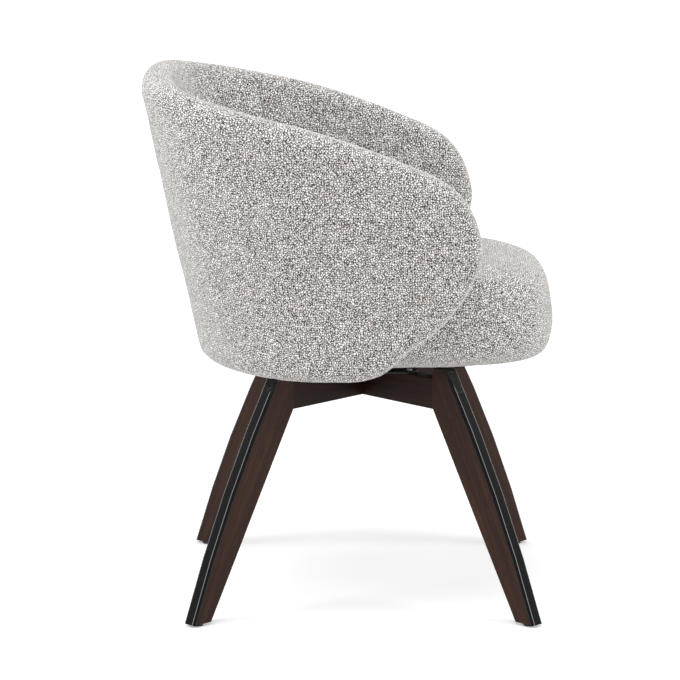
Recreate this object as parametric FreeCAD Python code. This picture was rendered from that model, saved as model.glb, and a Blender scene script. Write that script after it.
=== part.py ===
import FreeCAD, Part
import math
import os

# A swivel armchair: an upholstered tub on a wooden cross base.
# Millimetres, +Z up. The origin is on the floor, on the swivel axis.
# The sitter faces +X, so +Y is the sitter's left.

Vector = FreeCAD.Vector
PLAN_ORIGIN = Vector(0, 0, 0)
UP = Vector(0, 0, 1)

# Overall sizes
overrun = 1.0
soft_gap = 0.3
running_gap = 0.05

# Wooden base: four splayed legs and two crossing rails
foot_reach = 356.0
foot_width = 35.0
glide_height = 4.0
glide_radius = 8.0
glide_nail_width = 2.4
glide_nail_length = 14.0
board_thickness = 22.5
leg_top_rise = 16.0
shoulder_reach = 181.5
leg_bow = 9.8
leg_bow_flats = 4
rail_depth = 44.5
knee_reach = 154.0
leg_outer_round = 5.0
leg_inner_round = 1.5
rail_top = 337.0
lap_gap = 0.1
tenon_length = 44.0
tenon_shoulder = 7.75
tenon_thickness = 8.0
tenon_gap = 0.1

# Swivel: a dished lower plate, a flat upper plate, a slide ring and a king bolt
plate_width = 160.0
plate_corner_radius = 16.0
plate_gauge = 2.5
land_rise = 18.7
dish_radius = 60.0
plate_screw_reach = 96.0
slide_ring_thickness = 4.0
slide_ring_radius = 50.0
king_bolt_radius = 6.0
king_head_radius = 10.0
king_head_height = 6.0
king_nut_height = 6.5
king_pocket_gap = 4.0
stop_lug_inner_reach = 52.5
stop_lug_outer_reach = 59.0
stop_lug_width = 5.0
stop_lug_height = 3.4
stop_contact_gap = 0.3
swivel_half_range = 90.0

# Screws
screw_radius = 2.2
screw_head_radius = 4.6
screw_head_height = 2.4
lower_screw_length = 28.0
upper_screw_length = 16.0

# Upholstery layers
cover_thickness = 2.0

# Seat drum
seat_height = 147.0
seat_front_reach = 279.5
seat_half_width = 205.0
seat_rear_reach = 209.0
seat_front_power = 3.0
seat_rear_power = 2.06
plan_sides = 32
# Height, front, side and rear, as shares of the seat's height and reaches
seat_profile_shares = (
    (0.000, 0.925, 0.720, 0.710),
    (0.054, 0.960, 0.830, 0.815),
    (0.158, 0.984, 0.930, 0.905),
    (0.345, 1.000, 0.985, 0.940),
    (0.572, 0.988, 0.995, 0.970),
    (0.770, 0.960, 0.990, 0.985),
    (0.880, 0.915, 0.955, 0.960),
    (0.955, 0.820, 0.860, 0.865),
    (1.000, 0.480, 0.520, 0.520),
)
seat_seam_front_share = 0.49
seat_seam_side_share = 0.898
seat_seam_level_reach = 120.0
seat_seam_bow_share = 0.16
seat_tuck = 22.0
seat_board_thickness = 15.0
seat_board_inset = 7.0
dust_cover_thickness = 0.8
dust_cover_inset = 10.0
dust_cover_window_margin = 5.0

# Back: the padded wall that wraps round the seat
back_bottom_drop = 8.0
back_height = 429.0
back_rear_half_thickness = 25.0
back_side_half_thickness = 22.0
rear_lean = 80.5
side_lean = 16.0
crest_power = 2.85
rear_undercut = 16.5
base_power = 2.0
arm_widening = 8.0
arm_reach = 168.3
arm_crest_drop = 91.0
wall_crown_share = 0.002
rim_seam_angle = 30.0
wall_facet_angle = 20.0
# Angle from the rear, with the crest and the lower edge as shares of the back's height
rear_rim_shares = (
    (0.0, 1.000, 0.000),
    (12.0, 0.993, 0.000),
    (24.0, 0.980, 0.000),
    (35.0, 0.957, 0.000),
    (46.0, 0.931, 0.000),
    (56.0, 0.904, 0.000),
    (68.0, 0.873, 0.002),
    (79.0, 0.840, 0.007),
    (90.0, 0.8035, 0.014),
)
side_seam_angle = 56.0
# Forward reach, lower edge and crest along the arm, as shares of the arm's reach and the back's height
arm_edge_shares = (
    (0.15, 0.034, 0.782),
    (0.39, 0.113, 0.743),
    (0.60, 0.175, 0.7075),
    (0.75, 0.239, 0.670),
    (0.868, 0.305, 0.619),
    (0.94, 0.363, 0.566),
    (0.98, 0.406, 0.515),
    (1.00, 0.446, 0.474),
)
tip_slimming_share = 0.46

# Moulded plywood frame inside the back
frame_thickness = 9.0
frame_edge_inset = 15.0
frame_front_share = 0.868

# Hardwood blocks that tie the back's frame to the seat board
block_angles = (0.0, 40.0, 80.0)
block_width = 34.0
block_height = 34.0
block_inner_reach = 100.0
block_glue_gap = 0.1

# Values that follow from the sizes above
knee_height = rail_top - rail_depth
leg_top = rail_top + leg_top_rise
tenon_height = rail_depth - 2 * tenon_shoulder
layer_inset = cover_thickness + soft_gap
lower_land_top = rail_top + land_rise
upper_plate_bottom = lower_land_top + slide_ring_thickness + 2 * running_gap
board_bottom = upper_plate_bottom + plate_gauge
board_top = board_bottom + seat_board_thickness
seat_bottom = board_bottom - layer_inset
back_bottom = seat_bottom - back_bottom_drop
arm_crest_level = back_bottom + back_height - arm_crest_drop
base_rear_reach = seat_rear_reach + back_rear_half_thickness - rear_undercut
base_side_reach = seat_half_width + back_side_half_thickness
crest_rear_reach = base_rear_reach + rear_lean
crest_side_reach = base_side_reach + side_lean


def save(name, shape):
    shape.exportStep("parts/" + name + ".step")


def polygon_face(points):
    return Part.Face(Part.makePolygon(list(points) + [points[0]]))


def cylinder(radius, height, base, direction=UP):
    return Part.makeCylinder(radius, height, base, direction)


def turned(profile, x=0.0, y=0.0, z=0.0):
    """A solid of revolution about a vertical axis from (radius, height) points."""
    face = polygon_face([Vector(r, 0, h) for r, h in profile])
    body = face.revolve(PLAN_ORIGIN, UP, 360)
    return body.translated(Vector(x, y, z))


def quarter_turns(shape, count=4, start=45.0):
    step = 360.0 / count
    copies = []
    for index in range(count):
        copy = shape.copy()
        copy.rotate(PLAN_ORIGIN, UP, start + index * step)
        copies.append(copy)
    return copies


def group(shapes):
    return Part.makeCompound(shapes)


# Wooden base

def radial_panel(outline, thickness):
    """A flat board standing in the XZ plane, centred on it."""
    face = polygon_face([Vector(r, -thickness / 2, z) for r, z in outline])
    return face.extrude(Vector(0, thickness, 0))


def edges_along(shape, start, end):
    """The long edges that run between two given (radius, height) points."""
    wanted = []
    for edge in shape.Edges:
        ends = [(v.Point.x, v.Point.z) for v in edge.Vertexes]
        near = all(min(math.dist(p, start), math.dist(p, end)) < running_gap for p in ends)
        if near and math.dist(ends[0], ends[-1]) > board_thickness:
            wanted.append(edge)
    return wanted


def bowed_points(start, end, bow, flats):
    """Points from start to end on a shallow curve that stands out from its chord by the bow."""
    length = math.dist(start, end)
    along = ((end[0] - start[0]) / length, (end[1] - start[1]) / length)
    points = []
    for index in range(flats + 1):
        share = index / flats
        rise = bow * 4 * share * (1 - share)
        run = length * share
        points.append((start[0] + along[0] * run + along[1] * rise,
                       start[1] + along[1] * run - along[0] * rise))
    return points


def leg():
    """A tapered board whose outer edge bows outwards, planed in flats and rounded over."""
    outer = bowed_points((foot_reach, glide_height), (shoulder_reach, leg_top), leg_bow, leg_bow_flats)
    knee = (knee_reach, knee_height)
    foot_inner = (foot_reach - foot_width, glide_height)
    board = radial_panel(outer + [(knee_reach, leg_top), knee, foot_inner], board_thickness)
    outer_edges = []
    for low, high in zip(outer, outer[1:]):
        outer_edges += edges_along(board, low, high)
    board = board.makeFillet(leg_outer_round, outer_edges)
    board = board.makeFillet(leg_inner_round, edges_along(board, knee, foot_inner))
    return board.cut(tenon(tenon_gap)).cut(glide_nail(running_gap))


def tenon(gap=0.0):
    """A loose tenon that joins a rail's end to a leg's head."""
    length = tenon_length + 2 * gap
    height = tenon_height + 2 * gap
    thickness = tenon_thickness + 2 * gap
    middle = (knee_height + rail_top) / 2
    return Part.makeBox(length, thickness, height,
                        Vector(knee_reach - length / 2, -thickness / 2, middle - height / 2))


def glide_nail(gap=0.0):
    centre = foot_reach - foot_width / 2
    width = glide_nail_width + 2 * gap
    return Part.makeBox(width, width, glide_nail_length + gap,
                        Vector(centre - width / 2, -width / 2, glide_height))


def foot_glide():
    """A nail-on furniture glide: a round pad with a square nail up into the leg."""
    centre = foot_reach - foot_width / 2
    pad = cylinder(glide_radius, glide_height, Vector(centre, 0, 0))
    return pad.fuse(glide_nail())


def cross_rail(notch_from_top):
    """A rail from leg to leg, halved at the middle over or under the other one."""
    low_left = (-knee_reach, knee_height)
    low_right = (knee_reach, knee_height)
    rail = radial_panel([low_left, low_right, (knee_reach, rail_top), (-knee_reach, rail_top)],
                        board_thickness)
    notch_width = board_thickness + 2 * lap_gap
    lap_height = (rail_top - knee_height + lap_gap) / 2
    low = rail_top - lap_height if notch_from_top else knee_height - overrun
    notch = Part.makeBox(notch_width, board_thickness + 2 * overrun, lap_height + overrun,
                         Vector(-notch_width / 2, -board_thickness / 2 - overrun, low))
    near = tenon(tenon_gap)
    far = near.mirror(PLAN_ORIGIN, Vector(1, 0, 0))
    return rail.cut(notch).cut(near).cut(far)


# Swivel mechanism

def plate_flange(level):
    half = plate_width / 2
    plate = Part.makeBox(plate_width, plate_width, plate_gauge, Vector(-half, -half, level))
    upright = [e for e in plate.Edges if e.Vertexes[0].Point.z != e.Vertexes[1].Point.z]
    return plate.makeFillet(plate_corner_radius, upright)


def stop_lug(angle, low):
    """A lug lanced from a plate, standing on it at an angle from the front."""
    length = stop_lug_outer_reach - stop_lug_inner_reach
    lug = Part.makeBox(length, stop_lug_width, stop_lug_height,
                       Vector(stop_lug_inner_reach, -stop_lug_width / 2, low))
    lug.rotate(PLAN_ORIGIN, UP, angle)
    return lug


def stop_angle():
    """How far round the lower lugs stand, so that the upper lug meets them at the range's end."""
    half_lug = math.asin(stop_lug_width / 2 / stop_lug_inner_reach)
    return swivel_half_range + math.degrees(2 * half_lug + stop_contact_gap / stop_lug_inner_reach)


def screw(length):
    """A pan-head wood screw whose head sits on height zero."""
    return turned([
        (0, screw_head_height),
        (screw_head_radius, screw_head_height),
        (screw_head_radius, 0),
        (screw_radius, 0),
        (screw_radius, -length),
        (0, -length),
    ])


def plate_bore(radius, level):
    return cylinder(radius, plate_gauge + 2 * overrun, Vector(0, 0, level - overrun))


def screw_hole(level):
    return plate_bore(screw_radius + running_gap, level)


def four_round(tool):
    return quarter_turns(tool.translated(Vector(plate_screw_reach, 0, 0)))


def lower_plate():
    """A pressed plate: a screwed flange with a raised round land for the slide ring."""
    cup = cylinder(dish_radius, land_rise, Vector(0, 0, rail_top))
    hollow = cylinder(dish_radius - plate_gauge, land_rise - plate_gauge + overrun,
                      Vector(0, 0, rail_top - overrun))
    lugs = [stop_lug(side * stop_angle(), lower_land_top) for side in (-1, 1)]
    plate = plate_flange(rail_top).fuse(cup).fuse(lugs).cut(hollow)
    bores = four_round(screw_hole(rail_top))
    bores.append(plate_bore(king_bolt_radius + running_gap, lower_land_top - plate_gauge))
    return plate.cut(group(bores)).removeSplitter()


def upper_plate():
    """A flat plate under the seat board, with a lug that meets the lower plate's two."""
    lug = stop_lug(0, upper_plate_bottom - stop_lug_height)
    bores = four_round(screw_hole(upper_plate_bottom))
    bores.append(plate_bore(king_bolt_radius + running_gap, upper_plate_bottom))
    return plate_flange(upper_plate_bottom).fuse(lug).cut(group(bores)).removeSplitter()


def lower_screws():
    return group(four_round(screw(lower_screw_length).translated(Vector(0, 0, rail_top + plate_gauge))))


def upper_screws():
    upward = screw(upper_screw_length).mirror(PLAN_ORIGIN, UP)
    return group(four_round(upward.translated(Vector(0, 0, upper_plate_bottom))))


def slide_ring():
    """The acetal ring between the plates that the seat turns on."""
    low = lower_land_top + running_gap
    bore = cylinder(king_bolt_radius + running_gap, slide_ring_thickness + 2 * overrun,
                    Vector(0, 0, low - overrun))
    return cylinder(slide_ring_radius, slide_ring_thickness, Vector(0, 0, low)).cut(bore)


def hexagon(radius, low, height):
    corners = [math.radians(60 * index) for index in range(6)]
    points = [Vector(radius * math.cos(a), radius * math.sin(a), low) for a in corners]
    return polygon_face(points).extrude(Vector(0, 0, height))


def king_bolt():
    head_top = lower_land_top - plate_gauge
    nut_top = board_bottom + running_gap + king_nut_height
    shank = cylinder(king_bolt_radius, nut_top + overrun - head_top, Vector(0, 0, head_top))
    return hexagon(king_head_radius, head_top - king_head_height, king_head_height).fuse(shank)


def king_nut():
    low = board_bottom + running_gap
    bore = cylinder(king_bolt_radius + running_gap, king_nut_height + 2 * overrun,
                    Vector(0, 0, low - overrun))
    return hexagon(king_head_radius, low, king_nut_height).cut(bore)


# Solids faced between matching sections

def faced_solid(sections):
    """A closed solid through rings of points, with two flat triangles between matching sides."""
    faces = [polygon_face(sections[0]), polygon_face(sections[-1])]
    for here, there in zip(sections, sections[1:]):
        for index in range(len(here)):
            corners = [here[index - 1], here[index], there[index], there[index - 1]]
            if corners[0].distanceToPoint(corners[2]) > corners[1].distanceToPoint(corners[3]):
                corners = corners[1:] + corners[:1]
            faces.append(polygon_face(corners[:3]))
            faces.append(polygon_face(corners[2:] + corners[:1]))
    shell = Part.makeShell(faces)
    shell.sewShape()
    solid = Part.makeSolid(shell)
    return solid if solid.Volume > 0 else solid.reversed()


def rounded_radius(angle, front, side, power):
    """Distance from the centre to a superellipse in the direction of an angle from its front."""
    along = abs(math.cos(angle)) / front
    across = abs(math.sin(angle)) / side
    return (along ** power + across ** power) ** (-1 / power)


def plan_point(angle, front, side, rear, z):
    facing = math.cos(angle) >= 0
    reach = front if facing else rear
    power = seat_front_power if facing else seat_rear_power
    r = rounded_radius(angle, reach, side, power)
    return Vector(r * math.cos(angle), r * math.sin(angle), z)


def plan_ring(front, side, rear, z):
    step = 2 * math.pi / plan_sides
    return [plan_point(index * step, front, side, rear, z) for index in range(plan_sides)]


def plan_slab(reaches, low, thickness):
    return polygon_face(plan_ring(*reaches, low)).extrude(Vector(0, 0, thickness))


# Seat

def seat_body(inset):
    """The crowned drum of the seat, drawn in by an inset all over."""
    sections = []
    for height, front, side, rear in seat_profile_shares:
        sections.append(plan_ring(
            seat_front_reach * front - inset,
            seat_half_width * side - inset,
            seat_rear_reach * rear - inset,
            seat_bottom + inset + height * (seat_height - 2 * inset),
        ))
    return faced_solid(sections)


def board_reaches(inset=0.0):
    """Front, side and rear reach of the seat board, or of an outline set in from it."""
    _, front, side, rear = seat_profile_shares[0]
    shrink = layer_inset + seat_board_inset + inset
    return (
        seat_front_reach * front - shrink,
        seat_half_width * side - shrink,
        seat_rear_reach * rear - shrink,
    )


def seat_board():
    board = plan_slab(board_reaches(), board_bottom, seat_board_thickness)
    pocket = cylinder(king_head_radius + king_pocket_gap, seat_board_thickness + 2 * overrun,
                      Vector(0, 0, board_bottom - overrun))
    return board.cut(pocket)


def mounting_blocks(gap=0.0):
    """Blocks on the board's rim that reach through the upholstery to the back's frame."""
    blocks = []
    for degrees in block_angles:
        reach = rounded_radius(math.radians(degrees), base_rear_reach, base_side_reach, base_power)
        block = Part.makeBox(
            reach - block_inner_reach + gap,
            block_width + 2 * gap,
            block_height + gap,
            Vector(block_inner_reach - gap, -block_width / 2 - gap, board_top),
        )
        for side in ((1, -1) if degrees else (1,)):
            turned_block = block.copy()
            turned_block.rotate(PLAN_ORIGIN, UP, 180 - side * degrees)
            blocks.append(turned_block)
    return group(blocks)


def seam_prism(gap):
    """The space below the seat's seam: high along the arms, dropping to the front."""
    reach = seat_front_reach + overrun
    wide = 2 * (seat_half_width + overrun)
    side_z = seat_bottom + seat_seam_side_share * seat_height - gap
    front_z = seat_bottom + seat_seam_front_share * seat_height - gap
    low = seat_bottom - overrun
    bend = Vector(seat_seam_level_reach, -wide / 2, side_z)
    front = Vector(reach, -wide / 2, front_z)
    middle = (bend + front) / 2 + Vector(0, 0, seat_seam_bow_share * (side_z - front_z))
    corners = [
        front,
        Vector(reach, -wide / 2, low),
        Vector(-reach, -wide / 2, low),
        Vector(-reach, -wide / 2, side_z),
        bend,
    ]
    edges = [Part.LineSegment(a, b).toShape() for a, b in zip(corners, corners[1:])]
    edges.append(Part.Arc(bend, middle, front).toShape())
    return Part.Face(Part.Wire(edges)).extrude(Vector(0, wide, 0))


def seat_skin():
    """The fabric all round the seat, open underneath where it is stapled to the board."""
    skin = seat_body(0).cut(seat_body(cover_thickness))
    window = plan_slab(board_reaches(seat_tuck), seat_bottom - overrun,
                       cover_thickness + 2 * overrun)
    return skin.cut(window).cut(mounting_blocks(soft_gap))


def seat_foam():
    foam = seat_body(layer_inset)
    board_space = plan_slab(board_reaches(-soft_gap), seat_bottom,
                            board_top + soft_gap - seat_bottom)
    return foam.cut(board_space).cut(mounting_blocks(soft_gap))


def dust_cover():
    low = seat_bottom - dust_cover_thickness
    sheet = plan_slab(board_reaches(dust_cover_inset), low, dust_cover_thickness)
    width = plate_width + 2 * dust_cover_window_margin
    window = Part.makeBox(width, width, dust_cover_thickness + 2 * overrun,
                          Vector(-width / 2, -width / 2, low - overrun))
    return sheet.cut(window)


# Back wall sections

def wall_stations():
    """Where the back wall's upright sections stand, from the rear to an arm's tip.

    Each has an origin and an outward direction in plan for the sitter's left side,
    the wall's centre distance at its base and crest, its heights and half thickness.
    """
    stations = []
    for degrees, crest_share, low_share in rear_rim_shares:
        angle = math.radians(degrees)
        side_share = math.sin(angle) ** 2
        half = back_rear_half_thickness * (1 - side_share) + back_side_half_thickness * side_share
        top = back_bottom + crest_share * back_height
        stations.append({
            "origin": (0.0, 0.0),
            "direction": (-math.cos(angle), math.sin(angle)),
            "base": rounded_radius(angle, base_rear_reach, base_side_reach, base_power),
            "crest": rounded_radius(angle, crest_rear_reach, crest_side_reach, crest_power),
            "crest_level": top - half,
            "low": back_bottom + low_share * back_height,
            "top": top,
            "half": half,
        })
    for reach_share, low_share, crest_share in arm_edge_shares:
        low = back_bottom + low_share * back_height
        top = back_bottom + crest_share * back_height
        stations.append({
            "origin": (arm_reach * reach_share, 0.0),
            "direction": (0.0, 1.0),
            "base": base_side_reach,
            "crest": crest_side_reach + arm_widening * reach_share,
            "crest_level": arm_crest_level,
            "low": low,
            "top": top,
            "half": min(back_side_half_thickness, tip_slimming_share * (top - low)),
        })
    return stations


def at(station, point, hand):
    distance, z = point
    x = station["origin"][0] + station["direction"][0] * distance
    y = station["origin"][1] + station["direction"][1] * distance
    return Vector(x, hand * y, z)


def wall_frame(station):
    """Centres of the wall's rounded crest and foot, and its directions along and outwards."""
    half = station["half"]
    base_level = back_bottom + back_side_half_thickness
    slope = (station["crest"] - station["base"]) / (station["crest_level"] - base_level)
    length = math.hypot(1, slope)
    high = station["top"] - half
    low = station["low"] + half
    crest = (station["base"] + slope * (high - base_level), high)
    foot = (station["base"] + slope * (low - base_level), low)
    return crest, foot, (slope / length, 1 / length), (1 / length, -slope / length)


def round_point(centre, out, along, radius, degrees):
    """A point on a rounded end, at an angle from its far side, positive outwards."""
    across = math.sin(math.radians(degrees)) * radius
    beyond = math.cos(math.radians(degrees)) * radius
    return (centre[0] + out[0] * across + along[0] * beyond,
            centre[1] + out[1] * across + along[1] * beyond)


def wall_face(frame, radius, side, seam):
    """Points up one face of the wall, from the seam under its foot to the seam on its crest."""
    crest, foot, along, out = frame
    down = (-along[0], -along[1])
    turn = side * 90 - seam
    steps = round(abs(turn) / wall_facet_angle)
    angles = [seam + turn * step / steps for step in range(steps + 1)]
    lower = [round_point(foot, out, down, radius, angle) for angle in angles]
    upper = [round_point(crest, out, along, radius, angle) for angle in angles[::-1]]
    bow = side * wall_crown_share * math.dist(lower[-1], upper[0])
    middle = ((lower[-1][0] + upper[0][0]) / 2 + out[0] * bow,
              (lower[-1][1] + upper[0][1]) / 2 + out[1] * bow)
    return lower + [middle] + upper


def section_ring(station, hand, points):
    return [at(station, point, hand) for point in points]


def padding_section(station, hand):
    """The whole rounded section of the wall, drawn in under its cover."""
    frame = wall_frame(station)
    radius = station["half"] - min(layer_inset, station["half"] / 2)
    outer = wall_face(frame, radius, 1, rim_seam_angle)
    inner = wall_face(frame, radius, -1, rim_seam_angle)
    return section_ring(station, hand, outer + inner[-2:0:-1])


def skin_section(station, hand, side):
    """A fabric panel on one face of the wall, from seam to seam."""
    half = station["half"]
    frame = wall_frame(station)
    seam = rim_seam_angle + side * math.degrees(soft_gap / half / 2)
    outer = wall_face(frame, half, side, seam)
    inner = wall_face(frame, half - min(cover_thickness, half / 2), side, seam)
    return section_ring(station, hand, outer + inner[::-1])


def frame_section(station, hand, gap):
    """The plywood's upright section in the middle of the wall."""
    crest, foot, along, out = wall_frame(station)
    reach = frame_thickness / 2 + gap
    drop = frame_edge_inset - station["half"] - gap
    corners = []
    for (d, z), rise in ((foot, drop), (crest, -drop)):
        for sign in ((1, -1) if rise == drop else (-1, 1)):
            corners.append((d + along[0] * rise + sign * out[0] * reach,
                            z + along[1] * rise + sign * out[1] * reach))
    return section_ring(station, hand, corners)


def wall_solid(section, first, last):
    """A solid round the back through both sides' stations, or one side's from a later station."""
    stations = wall_stations()[first:last]
    sections = [section(station, 1) for station in stations]
    if first == 0:
        sections = [section(station, -1) for station in stations[:0:-1]] + sections
    return faced_solid(sections)


def all_stations():
    return len(rear_rim_shares) + len(arm_edge_shares)


def seam_station():
    return [row[0] for row in rear_rim_shares].index(side_seam_angle)


def frame_end_station():
    return len(rear_rim_shares) + [row[0] for row in arm_edge_shares].index(frame_front_share)


def back_frame(gap=0.0):
    return wall_solid(lambda station, hand: frame_section(station, hand, gap), 0,
                      frame_end_station())


def back_foam():
    jacket = wall_solid(padding_section, 0, all_stations())
    return jacket.cut(back_frame(soft_gap)).cut(mounting_blocks(soft_gap))


def outer_back_cover():
    return wall_solid(lambda station, hand: skin_section(station, hand, 1), 0, all_stations())


def inner_back_cover():
    panel = wall_solid(lambda station, hand: skin_section(station, hand, -1), 0,
                       seam_station() + 1)
    return panel.cut(mounting_blocks(soft_gap))


def inner_arm_cover(hand):
    panel = wall_solid(lambda station, _: skin_section(station, hand, -1), seam_station(),
                       all_stations())
    return panel.cut(mounting_blocks(soft_gap))


def build_base():
    leg_names = ("leg_front_left", "leg_rear_left", "leg_rear_right", "leg_front_right")
    for name, shape in zip(leg_names, quarter_turns(leg())):
        save(name, shape)
    save("foot_glides", group(quarter_turns(foot_glide())))
    save("leg_tenons", group(quarter_turns(tenon())))
    for name, notch_from_top, turn in (("lower_rail", True, 45), ("upper_rail", False, -45)):
        rail = cross_rail(notch_from_top)
        rail.rotate(PLAN_ORIGIN, UP, turn)
        save(name, rail)


def build_swivel():
    save("swivel_lower_plate", lower_plate())
    save("swivel_upper_plate", upper_plate())
    save("swivel_slide_ring", slide_ring())
    save("king_bolt", king_bolt())
    save("king_nut", king_nut())
    save("lower_plate_screws", lower_screws())
    save("upper_plate_screws", upper_screws())


def build_seat():
    skin = seat_skin()
    save("seat_board", seat_board())
    save("seat_foam", seat_foam())
    save("seat_top_cover", skin.cut(seam_prism(-soft_gap / 2)))
    save("seat_side_cover", skin.common(seam_prism(soft_gap / 2)))
    save("seat_dust_cover", dust_cover())


def build_back():
    save("back_mounting_blocks", mounting_blocks().cut(back_frame(block_glue_gap)))
    save("back_frame", back_frame())
    save("back_foam", back_foam())
    save("outer_back_cover", outer_back_cover())
    save("inner_back_cover", inner_back_cover())
    save("inner_arm_cover_left", inner_arm_cover(1))
    save("inner_arm_cover_right", inner_arm_cover(-1))


os.makedirs("parts", exist_ok=True)
build_base()
build_swivel()
build_seat()
build_back()
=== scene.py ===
import math

import bmesh
import bpy
import numpy as np
from mathutils import Matrix, Vector


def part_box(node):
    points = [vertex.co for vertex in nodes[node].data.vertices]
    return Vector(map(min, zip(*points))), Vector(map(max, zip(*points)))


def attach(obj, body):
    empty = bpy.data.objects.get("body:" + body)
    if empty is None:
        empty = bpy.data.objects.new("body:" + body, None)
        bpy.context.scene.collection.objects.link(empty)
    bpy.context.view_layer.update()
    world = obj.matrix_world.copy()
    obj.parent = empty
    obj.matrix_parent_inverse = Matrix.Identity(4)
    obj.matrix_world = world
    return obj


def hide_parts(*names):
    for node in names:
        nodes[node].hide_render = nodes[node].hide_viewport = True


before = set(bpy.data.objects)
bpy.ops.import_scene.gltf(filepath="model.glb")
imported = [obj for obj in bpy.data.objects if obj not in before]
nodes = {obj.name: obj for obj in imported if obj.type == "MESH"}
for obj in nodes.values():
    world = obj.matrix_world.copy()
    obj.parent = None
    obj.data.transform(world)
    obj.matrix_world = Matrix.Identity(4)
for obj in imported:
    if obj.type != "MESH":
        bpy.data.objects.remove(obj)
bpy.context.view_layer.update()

# Legs and rails
# Four splayed legs and two halved rails, sawn from hardwood board, stained almost black-brown and
# lacquered satin. The legs' outer edges are rounded and polished to a higher gloss, and near black
# there as a painted dark reflection. The rails have a darker copy of the stain as painted shade
# under the seat.


def settle(node, **settings):
    """Sets a node's properties and unlinked inputs by name."""
    for key, value in settings.items():
        if hasattr(node, key):
            setattr(node, key, value)
        else:
            node.inputs[key.replace("_", " ")].default_value = value
    return node


def add(tree, kind, **settings):
    return settle(tree.nodes.new(kind), **settings)


def link(tree, source, target):
    tree.links.new(source, target)


def new_material(name):
    material = bpy.data.materials.new(name)
    material.use_nodes = True
    tree = material.node_tree
    tree.nodes.clear()
    output = add(tree, "ShaderNodeOutputMaterial")
    shader = add(tree, "ShaderNodeBsdfPrincipled")
    link(tree, shader.outputs["BSDF"], output.inputs["Surface"])
    return material, tree, shader


def feed(tree, socket, value):
    """Links a socket to another one, or gives it a number or a colour."""
    if isinstance(value, bpy.types.NodeSocket):
        link(tree, value, socket)
    else:
        socket.default_value = (*value, 1.0) if isinstance(value, tuple) else value


def new_group(name, rates, outputs):
    """A shader group that is given a vector and some rates."""
    group = bpy.data.node_groups.new(name, "ShaderNodeTree")
    sockets = group.interface
    sockets.new_socket(name="Vector", in_out="INPUT", socket_type="NodeSocketVector")
    for socket, value in rates.items():
        made = sockets.new_socket(name=socket, in_out="INPUT", socket_type="NodeSocketFloat")
        made.default_value = value
    for socket in outputs:
        sockets.new_socket(name=socket, in_out="OUTPUT", socket_type="NodeSocketFloat")
    return group, add(group, "NodeGroupInput"), add(group, "NodeGroupOutput")


def use_group(tree, group):
    return add(tree, "ShaderNodeGroup", node_tree=group)


def ramp(tree, value, stops, interpolation="LINEAR"):
    """Colours or shares between black and white, read off at a varying value."""
    node = tree.nodes.new("ShaderNodeValToRGB")
    node.color_ramp.interpolation = interpolation
    elements = node.color_ramp.elements
    while len(elements) < len(stops):
        elements.new(0.5)
    for element, (position, colour) in zip(elements, stops):
        element.position = position
        element.color = (*colour, 1.0)
    link(tree, value, node.inputs["Fac"])
    return node.outputs["Color"]


def math_node(tree, operation, a, b):
    node = add(tree, "ShaderNodeMath", operation=operation)
    feed(tree, node.inputs[0], a)
    feed(tree, node.inputs[1], b)
    return node.outputs[0]


def mix_colour(tree, share, a, b):
    node = add(tree, "ShaderNodeMix", data_type="RGBA")
    for socket, value in ((0, share), (6, a), (7, b)):
        feed(tree, node.inputs[socket], value)
    return node.outputs[2]


def tint(tree, shader, value, stops):
    """Base colour from a ramp over a varying value."""
    link(tree, ramp(tree, value, stops), shader.inputs["Base Color"])


def relief(tree, shader, height, strength, distance):
    bump = add(tree, "ShaderNodeBump", Strength=strength, Distance=distance)
    link(tree, height, bump.inputs["Height"])
    link(tree, bump.outputs["Normal"], shader.inputs["Normal"])


def grain_group():
    """Fine pores and growth lines that run along X of the vector it is given."""
    group, given, made = new_group("wood_grain", {"Pores per metre": 900.0}, ["Lines", "Pores"])
    stretch = add(group, "ShaderNodeMapping", Scale=(0.045, 1.0, 1.0))
    link(group, given.outputs["Vector"], stretch.inputs["Vector"])
    bands = add(group, "ShaderNodeTexNoise", Scale=85.0, Detail=5.0, Roughness=0.62, Distortion=0.6)
    link(group, stretch.outputs[0], bands.inputs["Vector"])
    pores = add(group, "ShaderNodeTexNoise", Detail=2.0, Roughness=0.5)
    link(group, stretch.outputs[0], pores.inputs["Vector"])
    link(group, given.outputs["Pores per metre"], pores.inputs["Scale"])
    dark = ramp(group, pores.outputs["Fac"], [(0.34, (0, 0, 0)), (0.52, (1, 1, 1))])
    link(group, bands.outputs["Fac"], made.inputs["Lines"])
    link(group, dark, made.inputs["Pores"])
    return group


wood_grain = grain_group()


def board_grain(tree, turn):
    """The grain's lines and pores, which run along X after the given turn."""
    place = add(tree, "ShaderNodeTexCoord")
    mapping = add(tree, "ShaderNodeMapping", Rotation=turn.to_euler())
    link(tree, place.outputs["Object"], mapping.inputs["Vector"])
    grain = use_group(tree, wood_grain)
    link(tree, mapping.outputs[0], grain.inputs["Vector"])
    return grain.outputs["Lines"], grain.outputs["Pores"]


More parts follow.
